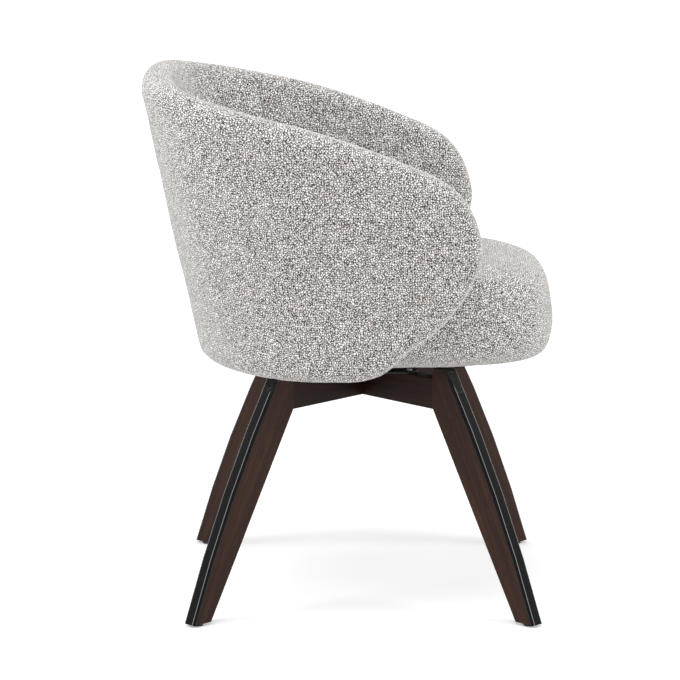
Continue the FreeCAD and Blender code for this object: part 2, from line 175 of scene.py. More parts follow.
def stained_wood(name, turn, painted_shade_factor, polish_and_painted_dark_edge):
    """Stained board, its grain along X after the given turn; a factor below 1 darkens it as painted
    shade.
    """
    material, tree, shader = new_material(name)
    lines, pores = board_grain(tree, turn)
    stain = [(0.25, (0.0200, 0.0076, 0.0044)), (0.50, (0.0370, 0.0146, 0.0088)),
             (0.75, (0.0660, 0.0270, 0.0165))]
    tone = ramp(tree, lines, [(place, tuple(painted_shade_factor * c for c in colour)) for place, colour in stain])
    in_pores = math_node(tree, "MULTIPLY", math_node(tree, "SUBTRACT", 1.0, pores), 0.55)
    colour = mix_colour(tree, in_pores, tone, (0.009, 0.0055, 0.0045))
    roughness = math_node(tree, "ADD", math_node(tree, "MULTIPLY", lines, 0.18), 0.34)
    settle(shader, Specular_IOR_Level=0.14)
    if polish_and_painted_dark_edge:
        surface = add(tree, "ShaderNodeNewGeometry")
        outward = add(tree, "ShaderNodeVectorMath", operation="DOT_PRODUCT")
        link(tree, surface.outputs["Normal"], outward.inputs[0])
        outward.inputs[1].default_value = polish_and_painted_dark_edge
        axes = add(tree, "ShaderNodeSeparateXYZ")
        link(tree, surface.outputs["Normal"], axes.inputs[0])
        sideways = math_node(tree, "LESS_THAN", axes.outputs["Z"], 0.8)
        on_edge = math_node(tree, "MULTIPLY", outward.outputs["Value"], sideways)
        # Painted dark reflection: the base colour goes near black on the rounded outer edges, by
        # their normals.
        painted_dark_reflection = ramp(tree, on_edge, [(0.02, (0, 0, 0)), (0.10, (1, 1, 1))])
        polished = ramp(tree, on_edge, [(0.10, (0, 0, 0)), (0.30, (1, 1, 1))])
        colour = mix_colour(tree, painted_dark_reflection, colour, (0.0045, 0.0042, 0.0045))
        smoother = math_node(tree, "MULTIPLY", polished, 0.28)
        roughness = math_node(tree, "SUBTRACT", roughness, smoother)
        pores = math_node(tree, "MAXIMUM", pores, painted_dark_reflection)
        link(tree, polished, shader.inputs["Coat Weight"])
        settle(shader, Coat_Roughness=0.05)
    link(tree, colour, shader.inputs["Base Color"])
    link(tree, roughness, shader.inputs["Roughness"])
    relief(tree, shader, pores, 0.35, 0.0004)
    return material


def dress(node, material):
    piece = nodes[node]
    piece.data.materials.clear()
    piece.data.materials.append(material)
    return piece


def round_the_shading(piece):
    """Smooth shading over the small flats of rounded edges, with the true corners kept."""
    piece.data.shade_smooth()
    weld = piece.modifiers.new("weld", "WELD")
    weld.merge_threshold = 1e-5
    corners = piece.modifiers.new("corners", "EDGE_SPLIT")
    corners.split_angle = math.radians(33)
    flats = piece.modifiers.new("flats", "WEIGHTED_NORMAL")
    flats.keep_sharp = True


leg_rise, leg_spread = 349.0, 174.5
leg_slope = math.atan2(leg_rise, leg_spread)
for name, bearing in (("leg_front_left", 45), ("leg_rear_left", 135),
                      ("leg_rear_right", 225), ("leg_front_right", 315)):
    azimuth = math.radians(bearing)
    turn = Matrix.Rotation(-leg_slope, 3, "Y") @ Matrix.Rotation(-azimuth, 3, "Z")
    edge_faces = (math.sin(leg_slope) * math.cos(azimuth),
                  math.sin(leg_slope) * math.sin(azimuth), math.cos(leg_slope))
    leg_wood = stained_wood(name + "_wood", turn, 1.0, edge_faces)
    round_the_shading(dress(name, leg_wood))
for name, bearing in (("lower_rail", 45), ("upper_rail", -45)):
    turn = Matrix.Rotation(-math.radians(bearing), 3, "Z")
    # Painted shade: the rails' stain is darkened to 0.55 for the shadow under the seat.
    dress(name, stained_wood(name + "_wood", turn, 0.55, None))

# Loose tenons and mounting blocks
# Beech, glued in: the bare tenons hold each leg to its rail, and the blocks tie the back's frame to
# the seat board. The blocks take the dark stain as painted shade, so the ends that show in the gap
# beside the seat read as its shadow.


def pale_wood(name, light, dark, turn):
    material, tree, shader = new_material(name)
    lines, pores = board_grain(tree, turn)
    tint(tree, shader, lines, [(0.3, dark), (0.7, light)])
    settle(shader, Roughness=0.62)
    relief(tree, shader, pores, 0.3, 0.0004)
    return material


along_rails = Matrix.Rotation(math.radians(45), 3, "Z")
beech = pale_wood("bare_beech", (0.52, 0.33, 0.18), (0.38, 0.22, 0.11), along_rails)
dress("leg_tenons", beech)
# Painted shade: the beech blocks are coloured dark, at 0.8, so their ends match the gap's shadow.
block_wood = stained_wood("mounting_block_wood", Matrix.Identity(3), 0.8, None)
dress("back_mounting_blocks", block_wood)

# Glides
# Round glides of dark moulded plastic, one nailed up into the sawn end of each foot.


def surface_noise(tree, **settings):
    """Noise that stays with the piece."""
    place = add(tree, "ShaderNodeTexCoord")
    noise = add(tree, "ShaderNodeTexNoise", **settings)
    link(tree, place.outputs["Object"], noise.inputs["Vector"])
    return noise.outputs["Fac"]


def vary_roughness(tree, shader, value, spread, least):
    rough = math_node(tree, "ADD", math_node(tree, "MULTIPLY", value, spread), least)
    link(tree, rough, shader.inputs["Roughness"])


def speckled_plastic(name, colour, roughness, grain_depth):
    material, tree, shader = new_material(name)
    noise = surface_noise(tree, Scale=1400.0, Detail=3.0)
    dark, light = tuple(c * 0.8 for c in colour), tuple(min(c * 1.25, 1.0) for c in colour)
    tint(tree, shader, noise, [(0.3, dark), (0.7, light)])
    vary_roughness(tree, shader, noise, 0.2, roughness - 0.1)
    relief(tree, shader, noise, 0.4, grain_depth)
    return material


glide_plastic = speckled_plastic("glide_plastic", (0.020, 0.019, 0.018), 0.5, 0.0002)
dress("foot_glides", glide_plastic)

# Swivel
# Two pressed steel plates in black powder coat, the lower one raised to a round land, with an
# acetal slide ring between them. A zinc-plated king bolt and nut hold them together.


def powder_coat(name, colour):
    material, tree, shader = new_material(name)
    peel = surface_noise(tree, Scale=520.0, Detail=2.0)
    dust = surface_noise(tree, Scale=28.0, Detail=4.0)
    tint(tree, shader, dust, [(0.35, colour), (0.75, tuple(c * 1.7 for c in colour))])
    vary_roughness(tree, shader, dust, 0.2, 0.45)
    relief(tree, shader, peel, 0.5, 0.0003)
    return material


def zinc_plate(name):
    material, tree, shader = new_material(name)
    spangle = surface_noise(tree, Scale=350.0, Detail=4.0)
    tint(tree, shader, spangle, [(0.3, (0.42, 0.42, 0.40)), (0.7, (0.62, 0.62, 0.60))])
    vary_roughness(tree, shader, spangle, 0.25, 0.2)
    settle(shader, Metallic=1.0)
    return material


black_coat = powder_coat("black_powder_coat", (0.006, 0.006, 0.006))
zinc = zinc_plate("zinc_plate")
for name in ("swivel_lower_plate", "swivel_upper_plate"):
    dress(name, black_coat)
for name in ("king_bolt", "king_nut", "lower_plate_screws", "upper_plate_screws"):
    dress(name, zinc)
slide_acetal = speckled_plastic("slide_acetal", (0.74, 0.73, 0.69), 0.35, 0.0001)
dress("swivel_slide_ring", slide_acetal)

# Seat board and back frame
# Birch plywood: a flat board under the seat and a moulded shell in the middle of the back.
plywood = pale_wood("birch_plywood", (0.62, 0.46, 0.29), (0.47, 0.32, 0.18), Matrix.Identity(3))
dress("seat_board", plywood)
dress("back_frame", plywood)

# Seat cushion
# A round foam drum in a boucle cover: a top panel and a side band that meet in a plain seam, which
# runs high along the arms and dips at the front. The band's edge is stapled under the board.
seat_low = 360.0
seat_tall = 147.0
seat_front, seat_side, seat_rear = 279.5, 205.0, 209.0
seat_front_power, seat_rear_power = 3.0, 2.06
# Height share, then front, side and rear reach shares, from the stapled edge up to the crown
seat_table = np.array((
    (-0.004, 0.810, 0.600, 0.590),
    (-0.004, 0.870, 0.660, 0.650),
    (0.004, 0.922, 0.720, 0.710),
    (0.025, 0.946, 0.775, 0.765),
    (0.054, 0.963, 0.830, 0.815),
    (0.099, 0.976, 0.885, 0.865),
    (0.158, 0.986, 0.930, 0.905),
    (0.345, 1.000, 0.985, 0.940),
    (0.572, 0.988, 0.995, 0.970),
    (0.770, 0.960, 0.985, 0.980),
    (0.880, 0.912, 0.950, 0.955),
    (0.950, 0.820, 0.862, 0.868),
    (0.990, 0.620, 0.665, 0.665),
    (1.006, 0.360, 0.385, 0.385),
    (1.012, 0.000, 0.000, 0.000),
))
seam_front_level, seam_side_level = 432.0, 492.0
seam_level_reach, seam_dip_power = 120.0, 1.55


def smooth_between(at, values, where):
    """Values on a smooth curve through uneven samples."""
    at, values = np.asarray(at, float), np.asarray(values, float)
    slopes = np.gradient(values, at)
    index = np.clip(np.searchsorted(at, where, side="right") - 1, 0, len(at) - 2)
    span = at[index + 1] - at[index]
    t = (where - at[index]) / span
    return ((2 * t ** 3 - 3 * t ** 2 + 1) * values[index]
            + (t ** 3 - 2 * t ** 2 + t) * span * slopes[index]
            + (3 * t ** 2 - 2 * t ** 3) * values[index + 1]
            + (t ** 3 - t ** 2) * span * slopes[index + 1])


def oval_radius(angle, front, side, power):
    along = np.abs(np.cos(angle)) / np.maximum(front, 1e-6)
    across = np.abs(np.sin(angle)) / np.maximum(side, 1e-6)
    return (along ** power + across ** power) ** (-1 / power)


seat_steps = np.hypot(np.diff(seat_table[:, 0]) * seat_tall,
                      np.diff(seat_table[:, 1]) * seat_front)
seat_run = np.concatenate([[0.0], np.cumsum(seat_steps)])


def seat_point(angle, run):
    """Points on the seat's surface, by bearing and distance run up from the stapled edge."""
    height, front, side, rear = (smooth_between(seat_run, seat_table[:, k], run) for k in range(4))
    forward = np.cos(angle) >= 0
    reach = np.where(forward, front * seat_front, rear * seat_rear)
    power = np.where(forward, seat_front_power, seat_rear_power)
    r = oval_radius(angle, np.maximum(reach, 1e-4), np.maximum(side * seat_side, 1e-4), power)
    level = np.broadcast_to(seat_low + height * seat_tall, r.shape)
    return np.stack([r * np.cos(angle), r * np.sin(angle), level], axis=-1)


def seam_level(x):
    dip = np.clip((x - seam_level_reach) / (seat_front - seam_level_reach), 0, 1)
    return seam_side_level - (seam_side_level - seam_front_level) * dip ** seam_dip_power


def seam_run_at(angles):
    """How far up the seat's side the seam lies at each bearing."""
    runs = np.linspace(seat_run[4], seat_run[-2], 500)
    grid = seat_point(angles[:, None], runs[None, :])
    above = grid[..., 2] - seam_level(grid[..., 0])
    crossing = np.argmax(above > 0, axis=1)
    before = above[np.arange(len(angles)), crossing - 1]
    after = above[np.arange(len(angles)), crossing]
    return runs[crossing - 1] + (runs[1] - runs[0]) * -before / (after - before)


def eased(count, near_start):
    """Shares from 0 to 1: even steps with closer ones next to a seam."""
    return np.array(sorted(set(np.linspace(0, 1, count)) | set(near_start)))


def grid_normals(grid, wraps):
    """Unit normals of a grid of points, by differences along its rows and columns."""
    rows = np.gradient(grid, axis=0)
    if wraps:
        columns = (np.roll(grid, -1, axis=1) - np.roll(grid, 1, axis=1)) / 2
    else:
        columns = np.gradient(grid, axis=1)
    normal = np.cross(columns, rows)
    length = np.linalg.norm(normal, axis=-1, keepdims=True)
    return normal / np.maximum(length, 1e-9)


def grid_faces(rows, columns, wraps, offset=0, flip=False):
    faces = []
    for r in range(rows - 1):
        for c in range(columns if wraps else columns - 1):
            d = (c + 1) % columns
            face = (offset + r * columns + c, offset + r * columns + d,
                    offset + (r + 1) * columns + d, offset + (r + 1) * columns + c)
            faces.append(face[::-1] if flip else face)
    return faces


def lengths_along(grid, axis):
    """Distance run from the start of a grid of points along one of its directions."""
    steps = np.linalg.norm(np.diff(grid, axis=axis), axis=-1)
    start = np.zeros_like(np.take(steps, [0], axis=axis))
    return np.concatenate([start, np.cumsum(steps, axis=axis)], axis=axis)


def new_object(name, data):
    made = bpy.data.objects.new(name, data)
    bpy.context.scene.collection.objects.link(made)
    return made


def face_outward(mesh, mend=False):
    """Turns all faces outward, after joining doubled points where they are to be mended."""
    edit = bmesh.new()
    edit.from_mesh(mesh)
    if mend:
        bmesh.ops.remove_doubles(edit, verts=edit.verts, dist=2e-6)
        bmesh.ops.dissolve_degenerate(edit, edges=edit.edges, dist=1e-7)
    bmesh.ops.recalc_face_normals(edit, faces=edit.faces)
    edit.to_mesh(mesh)
    edit.free()


def fabric_shell(name, grid, normals, thickness, wraps, painted_shade_highlight, cloth, girth=1e9):
    """A closed skin of even thickness from a grid of points in millimetres.

    Cloth holds each point's place on the flat cloth, which repeats after the girth where it wraps.
    """
    rows, columns = grid.shape[:2]
    inner = grid - normals * thickness
    points = np.concatenate([grid.reshape(-1, 3), inner.reshape(-1, 3)]) / 1000
    sheet = rows * columns
    faces = grid_faces(rows, columns, wraps) + grid_faces(rows, columns, wraps, sheet, True)
    rims = [list(range(columns)), [(rows - 1) * columns + c for c in range(columns)][::-1]]
    if not wraps:
        rims = [rims[0] + [r * columns + columns - 1 for r in range(1, rows)]
                + [(rows - 1) * columns + c for c in range(columns - 2, -1, -1)]
                + [r * columns for r in range(rows - 2, 0, -1)]]
    for rim in rims:
        for a, b in zip(rim, rim[1:] + rim[:1]):
            faces.append((b, a, a + sheet, b + sheet))
    mesh = bpy.data.meshes.new(name)
    mesh.from_pydata(points.tolist(), [], faces)
    # Seam marks: above nought painted shade, below nought a painted highlight.
    marks = mesh.attributes.new("painted_shade_highlight", "FLOAT", "POINT")
    marks.data.foreach_set("value", np.tile(painted_shade_highlight.ravel(), 2))
    corners = cloth.reshape(-1, 2)[np.array(faces) % sheet]
    round_the_back = np.ptp(corners[..., 0], axis=1, keepdims=True) > girth / 2
    corners[..., 0] += np.where(round_the_back & (corners[..., 0] < 0), girth, 0)
    corners = np.concatenate([corners, np.zeros_like(corners[..., :1])], axis=-1) / 1000
    places = mesh.attributes.new("cloth", "FLOAT_VECTOR", "CORNER")
    places.data.foreach_set("vector", corners.ravel())
    face_outward(mesh, mend=True)
    mesh.shade_smooth()
    return new_object(name, mesh)


def soft_noise(points, size, seed):
    """Smooth random values, mostly from -1 to 1, with features of about the given size."""
    rng = np.random.default_rng(seed)
    total = np.zeros(points.shape[:-1])
    waves = 24
    for _ in range(waves):
        direction = rng.normal(size=3)
        direction *= 2 * math.pi / (size * rng.uniform(0.7, 1.6) * np.linalg.norm(direction))
        total += np.sin(points @ direction + rng.uniform(0, 2 * math.pi))
    return total / math.sqrt(waves / 2) / 2


def swollen(grid, held, start_smaller, most):
    """How far the foam inside pushes a sewn bag in or out: a cloth simulation, as offsets.

    The bag has the shape of a grid that wraps along its rows, closed at both ends, and starts a
    little smaller. Points with a held weight, at seams and staples, stay nearly where they are.
    Only the push square to the surface is kept, eased off so that it never passes the most.
    """
    rows, columns = grid.shape[:2]
    normals = grid_normals(grid, True)
    centres = grid.mean(axis=1, keepdims=True)
    normals *= np.sign(np.mean(np.sum(normals * (grid - centres), axis=-1)))
    start = grid - normals * start_smaller
    faces = grid_faces(rows, columns, True)
    faces += [tuple(range(columns)), tuple(range((rows - 1) * columns, rows * columns))]
    mesh = bpy.data.meshes.new("bag")
    mesh.from_pydata((start.reshape(-1, 3) / 1000).tolist(), [], faces)
    face_outward(mesh)
    bag = new_object("bag", mesh)
    pins = bag.vertex_groups.new(name="held")
    for index, weight in enumerate(held.ravel()):
        if weight > 0.01:
            pins.add([index], float(weight), "REPLACE")
    cloth = bag.modifiers.new("pressure", "CLOTH").settings
    cloth.quality = 6
    cloth.tension_stiffness = cloth.compression_stiffness = 30.0
    cloth.use_pressure = True
    cloth.uniform_pressure_force = 2.0
    cloth.vertex_group_mass = "held"
    cloth.effector_weights.gravity = 0.0
    scene = bpy.context.scene
    frames = 20
    for step in range(1, frames + 1):
        scene.frame_set(step)
    pressed = bag.evaluated_get(bpy.context.evaluated_depsgraph_get()).to_mesh()
    moved = np.empty(rows * columns * 3)
    pressed.vertices.foreach_get("co", moved)
    scene.frame_set(1)
    bpy.data.objects.remove(bag)
    bpy.data.meshes.remove(mesh)
    push = np.sum((moved.reshape(grid.shape) * 1000 - start) * normals, axis=-1, keepdims=True)
    return normals * most * np.tanh(push / (4 * most))


def sampled(field, row_at, column_at, rows, columns):
    """Values of a coarse field at finer rows and columns."""
    row = np.interp(rows, row_at, np.arange(len(row_at)))
    column = np.interp(columns, column_at, np.arange(len(column_at)))
    r = np.minimum(row.astype(int), len(row_at) - 2)
    c = np.minimum(column.astype(int), len(column_at) - 2)
    down, across = (row - r)[..., None], (column - c)[..., None]
    near = field[r, c] * (1 - across) + field[r, c + 1] * across
    far = field[r + 1, c] * (1 - across) + field[r + 1, c + 1] * across
    return near * (1 - down) + far * down


def boucle_group():
    """Knotted yarn loops: their height, how pale each part is, and the gaps' dark yarn and painted
    shade.
    """
    wander_reach = 0.0042
    group, given, made = new_group(
        "boucle_loops", {"Loops per metre": 295.0, "Curls per metre": 640.0},
        ["Height", "Shade", "Gap"])
    wander = add(group, "ShaderNodeTexNoise", noise_dimensions="2D", Scale=330.0, Detail=1.0,
                 Roughness=0.5)
    link(group, given.outputs["Vector"], wander.inputs["Vector"])
    centred = add(group, "ShaderNodeVectorMath", operation="SUBTRACT")
    link(group, wander.outputs["Color"], centred.inputs[0])
    centred.inputs[1].default_value = (0.5, 0.5, 0.5)
    moved = add(group, "ShaderNodeVectorMath", operation="MULTIPLY_ADD")
    link(group, centred.outputs[0], moved.inputs[0])
    moved.inputs[1].default_value = (wander_reach,) * 3
    link(group, given.outputs["Vector"], moved.inputs[2])
    edges = add(group, "ShaderNodeTexVoronoi", voronoi_dimensions="2D",
                feature="DISTANCE_TO_EDGE", Randomness=0.85)
    loops = add(group, "ShaderNodeTexVoronoi", voronoi_dimensions="2D", Randomness=0.85)
    curls = add(group, "ShaderNodeTexVoronoi", voronoi_dimensions="2D", Randomness=1.0)
    for cells, rate in ((edges, "Loops per metre"), (loops, "Loops per metre"),
                        (curls, "Curls per metre")):
        link(group, moved.outputs[0], cells.inputs["Vector"])
        link(group, given.outputs[rate], cells.inputs["Scale"])
    gap_yarn_and_shade = ramp(group, edges.outputs["Distance"], [(0.06, (1, 1, 1)), (0.28, (0, 0, 0))], "EASE")
    # Each curl is pale in its middle and darker to its rim: yarn tone together with painted shade.
    spread = math_node(group, "MULTIPLY", curls.outputs["Distance"], 1.15)
    curl = math_node(group, "SUBTRACT", 1.0, spread)
    dome = math_node(group, "SUBTRACT", 1.0, loops.outputs["Distance"])
    single = add(group, "ShaderNodeSeparateColor")
    link(group, curls.outputs["Color"], single.inputs[0])
    shade = math_node(group, "ADD", math_node(group, "MULTIPLY", curl, 0.86),
                      math_node(group, "MULTIPLY", single.outputs[0], 0.30))
    height = math_node(group, "ADD", math_node(group, "MULTIPLY", dome, 0.7),
                       math_node(group, "MULTIPLY", curl, 0.45))
    link(group, height, made.inputs["Height"])
    link(group, shade, made.inputs["Shade"])
    link(group, gap_yarn_and_shade, made.inputs["Gap"])
    return group


def boucle_fabric(name):
    """Loops on the flat cloth; a seam mark above nought paints shade, below it a pale highlight."""
    material, tree, shader = new_material(name)
    place = add(tree, "ShaderNodeAttribute", attribute_name="cloth")
    loops = use_group(tree, boucle_group())
    link(tree, place.outputs["Vector"], loops.inputs["Vector"])
    yarn = ramp(tree, loops.outputs["Shade"], [
        (0.12, (0.060, 0.053, 0.049)), (0.28, (0.40, 0.374, 0.355)),
        (0.44, (0.92, 0.884, 0.854)), (0.66, (1.00, 0.976, 0.948))])
    # Painted sheen: towards grazing views the colour mixes, up to a fifth, into pale grey.
    facing = add(tree, "ShaderNodeLayerWeight", Blend=0.35)
    painted_sheen = ramp(tree, facing.outputs["Facing"],
                   [(0.30, (0, 0, 0)), (0.48, (0.12,) * 3), (0.90, (0.20,) * 3)])
    # Dark gaps between the loops: the dark ground yarn together with painted shade in the hollows.
    colour = mix_colour(tree, loops.outputs["Gap"], yarn, (0.030, 0.027, 0.025))
    colour = mix_colour(tree, painted_sheen, colour, (0.80, 0.775, 0.749))
    painted_shade_highlight = add(tree, "ShaderNodeAttribute", attribute_name="painted_shade_highlight")
    # Painted shade in seams for marks above nought, a painted pale highlight for marks below.
    for strength, tone in ((0.9, (0.045, 0.040, 0.037)), (-0.8, (0.74, 0.715, 0.69))):
        share = math_node(tree, "MULTIPLY", painted_shade_highlight.outputs["Fac"], strength)
        colour = mix_colour(tree, share, colour, tone)
    link(tree, colour, shader.inputs["Base Color"])
    settle(shader, Roughness=0.92, Specular_IOR_Level=0.2, Sheen_Weight=0.25, Sheen_Roughness=0.5)
    relief(tree, shader, loops.outputs["Height"], 0.9, 0.0014)
    return material


boucle = boucle_fabric("grey_boucle")
fabric_thickness = 2.0
seat_bearings = np.linspace(0, 2 * math.pi, 321)[:-1]
seam_runs = seam_run_at(seat_bearings)
seam_steps = (0.004, 0.010, 0.019, 0.032, 0.05)

bag_bearings = np.linspace(0, 2 * math.pi, 129)
bag_runs = np.linspace(0, seat_run[-1] - 14.0, 52)
bag_grid = seat_point(bag_bearings[None, :-1], bag_runs[:, None])
bag_seam = np.exp(-((bag_runs[:, None] - seam_run_at(bag_bearings[:-1])[None, :]) / 7) ** 2)
bag_held = np.maximum(0.6 * bag_seam, np.clip(1 - bag_runs / 60, 0, 1)[:, None])
start_smaller, seat_swell_most = 3.0, 1.3
seat_swell = swollen(bag_grid, bag_held, start_smaller, seat_swell_most)
seat_swell = np.concatenate([seat_swell, seat_swell[:, :1]], axis=1)


def seat_panel(shares, top):
    """Points of the top panel or the side band, row by row from the seam they share."""
    far = seat_run[-1] - 0.5 if top else 0.0
    runs = seam_runs[None, :] + (far - seam_runs[None, :]) * shares[:, None]
    grid = seat_point(seat_bearings[None, :], runs)
    bearings = seat_bearings[None, :] + 0 * runs
    grid = grid + sampled(seat_swell, bag_runs, bag_bearings, runs, bearings)
    from_seam = np.abs(runs - seam_runs[None, :])
    normals = grid_normals(grid, True)
    if not top:
        normals = -normals
    roll = -0.6 * np.exp(-(from_seam / 1.3) ** 2) - 0.4 * np.exp(-(from_seam / 6) ** 2)
    waves = 0.7 * soft_noise(grid, 60, 4) + 0.35 * soft_noise(grid, 24, 9)
    fade = 1 - np.exp(-(from_seam / 9) ** 2)
    return grid + normals * (roll + waves * fade)[..., None]


top_grid = seat_panel(eased(46, seam_steps), True)
to_crown = lengths_along(top_grid[::-1], 0)[::-1, :, None]
top_plan = top_grid[..., :2]
top_cloth = to_crown * top_plan / np.maximum(np.linalg.norm(top_plan, axis=-1, keepdims=True), 1e-3)
seat_top = fabric_shell("seat_top_panel", top_grid, grid_normals(top_grid, True),
                        fabric_thickness, True, 0 * top_grid[..., 0], top_cloth)
side_grid = seat_panel(eased(34, seam_steps), False)
widest = lengths_along(np.concatenate([side_grid, side_grid[:, :1]], axis=1), 1)
widest = widest[np.argmax(widest[:, -1])]
from_front = np.where(seat_bearings > math.pi, widest[:-1] - widest[-1], widest[:-1])
band_start = 900
side_cloth = np.stack([from_front + 0 * side_grid[..., 0],
                       band_start - lengths_along(side_grid, 0)], axis=-1)
seat_band = fabric_shell("seat_side_band", side_grid, -grid_normals(side_grid, True),
                         fabric_thickness, True, 0 * side_grid[..., 0], side_cloth, widest[-1])
for piece, node in ((seat_top, "seat_top_cover"), (seat_band, "seat_side_cover")):
    piece.data.materials.append(boucle)
    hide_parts(node)
    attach(piece, "seat")
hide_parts("seat_foam")

# Dust cover
# Thin black spun-bonded cloth stapled under the seat board, with a window for the swivel plate.


def spun_cloth(name):
    material, tree, shader = new_material(name)
    fibres = surface_noise(tree, Scale=900.0, Detail=4.0, Distortion=1.5)
    tint(tree, shader, fibres, [(0.35, (0.010, 0.010, 0.011)), (0.70, (0.035, 0.035, 0.037))])
    settle(shader, Roughness=0.95)
    relief(tree, shader, fibres, 0.5, 0.0004)
    return material


dress("seat_dust_cover", spun_cloth("black_dust_cloth"))

# Dust cover staples
# Zinc wire staples shot through the cloth into the board all round, a few degrees out of line with
# the edge as a hand-held gun leaves them.
staple_spacing, staple_slant, staple_from_edge = 0.024, math.radians(7), 7.0
staple_crown, staple_leg, wire_wide, wire_thick = 10.0, 3.0, 1.2, 0.6


def staple_mesh():
    """One bent wire staple, its crown along X and its legs up."""
    half = staple_crown / 2
    bend = 0.8
    path = [(-half, staple_leg), (-half, bend), (-half + bend, 0),
            (half - bend, 0), (half, bend), (half, staple_leg)]
    points = []
    for x, z in path:
        inward = -np.sign(x) * wire_thick
        on_leg = abs(x) > half - 0.1
        for y in (-wire_wide / 2, wire_wide / 2):
            points.append((x, y, z))
            points.append((x + (inward if on_leg else 0), y, z + (0 if on_leg else wire_thick)))
    faces = []
    for k in range(len(path) - 1):
        a, b = 4 * k, 4 * k + 4
        for i, j in ((0, 1), (1, 3), (3, 2), (2, 0)):
            faces.append((a + i, a + j, b + j, b + i))
    faces += [(0, 2, 3, 1), tuple(4 * len(path) - 4 + i for i in (0, 1, 3, 2))]
    mesh = bpy.data.meshes.new("staple")
    mesh.from_pydata((np.array(points) / 1000).tolist(), [], faces)
    face_outward(mesh)
    return mesh


def staple_row_tree():
    """Staples at even steps along a closed line, each turned a little out of line."""
    tree = bpy.data.node_groups.new("staple_row", "GeometryNodeTree")
    sockets = {}
    for socket, kind, value in (
            ("Line", "NodeSocketGeometry", None), ("Staple", "NodeSocketObject", None),
            ("Spacing", "NodeSocketFloat", 0.02), ("Slant", "NodeSocketFloat", 0.1),
            ("Seed", "NodeSocketInt", 3), ("Finish", "NodeSocketMaterial", None)):
        made = tree.interface.new_socket(name=socket, in_out="INPUT", socket_type=kind)
        if value is not None:
            made.default_value = value
        sockets[socket] = made.identifier
    tree.interface.new_socket(name="Staples", in_out="OUTPUT", socket_type="NodeSocketGeometry")
    given, made = add(tree, "NodeGroupInput"), add(tree, "NodeGroupOutput")
    line = add(tree, "GeometryNodeMeshToCurve")
    link(tree, given.outputs["Line"], line.inputs["Mesh"])
    steps = add(tree, "GeometryNodeResampleCurve", mode="LENGTH")
    link(tree, line.outputs["Curve"], steps.inputs["Curve"])
    link(tree, given.outputs["Spacing"], steps.inputs["Length"])
    heading = add(tree, "GeometryNodeInputTangent")
    turned = add(tree, "FunctionNodeAlignEulerToVector", axis="X", pivot_axis="Z")
    link(tree, heading.outputs["Tangent"], turned.inputs["Vector"])
    slant = add(tree, "FunctionNodeRandomValue", data_type="FLOAT")
    link(tree, math_node(tree, "MULTIPLY", given.outputs["Slant"], -1.0), slant.inputs[2])
    link(tree, given.outputs["Slant"], slant.inputs[3])
    link(tree, given.outputs["Seed"], slant.inputs["Seed"])
    about = add(tree, "ShaderNodeCombineXYZ")
    link(tree, slant.outputs[1], about.inputs["Z"])
    both = add(tree, "FunctionNodeRotateEuler", space="LOCAL")
    link(tree, turned.outputs[0], both.inputs[0])
    link(tree, about.outputs[0], both.inputs[1])
    placed = add(tree, "GeometryNodeInstanceOnPoints")
    link(tree, steps.outputs["Curve"], placed.inputs["Points"])
    single = add(tree, "GeometryNodeObjectInfo")
    link(tree, given.outputs["Staple"], single.inputs["Object"])
    link(tree, single.outputs["Geometry"], placed.inputs["Instance"])
    link(tree, both.outputs[0], placed.inputs["Rotation"])
    real = add(tree, "GeometryNodeRealizeInstances")
    link(tree, placed.outputs["Instances"], real.inputs["Geometry"])
    finish = add(tree, "GeometryNodeSetMaterial")
    link(tree, real.outputs["Geometry"], finish.inputs["Geometry"])
    link(tree, given.outputs["Finish"], finish.inputs["Material"])
    link(tree, finish.outputs["Geometry"], made.inputs["Staples"])
    return tree, sockets


cover_box = np.array(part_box("seat_dust_cover"))
around = np.linspace(0, 2 * math.pi, 181)[:-1]
reach = np.where(np.cos(around) >= 0, cover_box[1, 0], -cover_box[0, 0]) - staple_from_edge / 1000
power = np.where(np.cos(around) >= 0, seat_front_power, seat_rear_power)
radius = oval_radius(around, reach, cover_box[1, 1] - staple_from_edge / 1000, power)
level = 0 * around + cover_box[0, 2] - wire_thick / 1000
line_points = np.stack([radius * np.cos(around), radius * np.sin(around), level], axis=-1)
line_mesh = bpy.data.meshes.new("staple_line")
line_mesh.from_pydata(line_points.tolist(),
                      [(k, (k + 1) % len(around)) for k in range(len(around))], [])
staple_line = new_object("staple_line", line_mesh)
one_staple = new_object("one_staple", staple_mesh())
row_tree, row_sockets = staple_row_tree()
row = staple_line.modifiers.new("staples", "NODES")
row.node_group = row_tree
for socket, value in (("Staple", one_staple), ("Spacing", staple_spacing),
                      ("Slant", staple_slant), ("Seed", 5), ("Finish", zinc)):
    row[row_sockets[socket]] = value
evaluated = staple_line.evaluated_get(bpy.context.evaluated_depsgraph_get())
staples = new_object("dust_cover_staples", bpy.data.meshes.new_from_object(evaluated))
bpy.data.objects.remove(staple_line)
bpy.data.objects.remove(one_staple)
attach(staples, "seat")

# Back upholstery
# The padded wall round the seat, in four boucle panels: one round the whole outside, one inside
# the back between two upright seams, and one inside each arm. A seam follows the crest just inside
# its middle, goes round each arm's tip and back under the foot, and draws the panels in.
back_low, back_tall = 352.0, 429.0
rear_half, side_half = 25.0, 22.0
base_rear, base_side, base_power = 217.5, 227.0, 2.0
crest_rear, crest_side, crest_power = 298.0, 243.0, 2.85
arm_reach, arm_widening, arm_crest_level = 168.3, 8.0, 690.0
crest_seam, foot_seam, side_seam, side_seam_drift = -8.0, 32.0, 56.0, 24.0
wall_crown = 0.002
turn_radius = 235.0
# Places round the wall's section, as wall_grid counts them
face_top, face_middle, face_foot, section_bottom = 90, 140, 190, 280
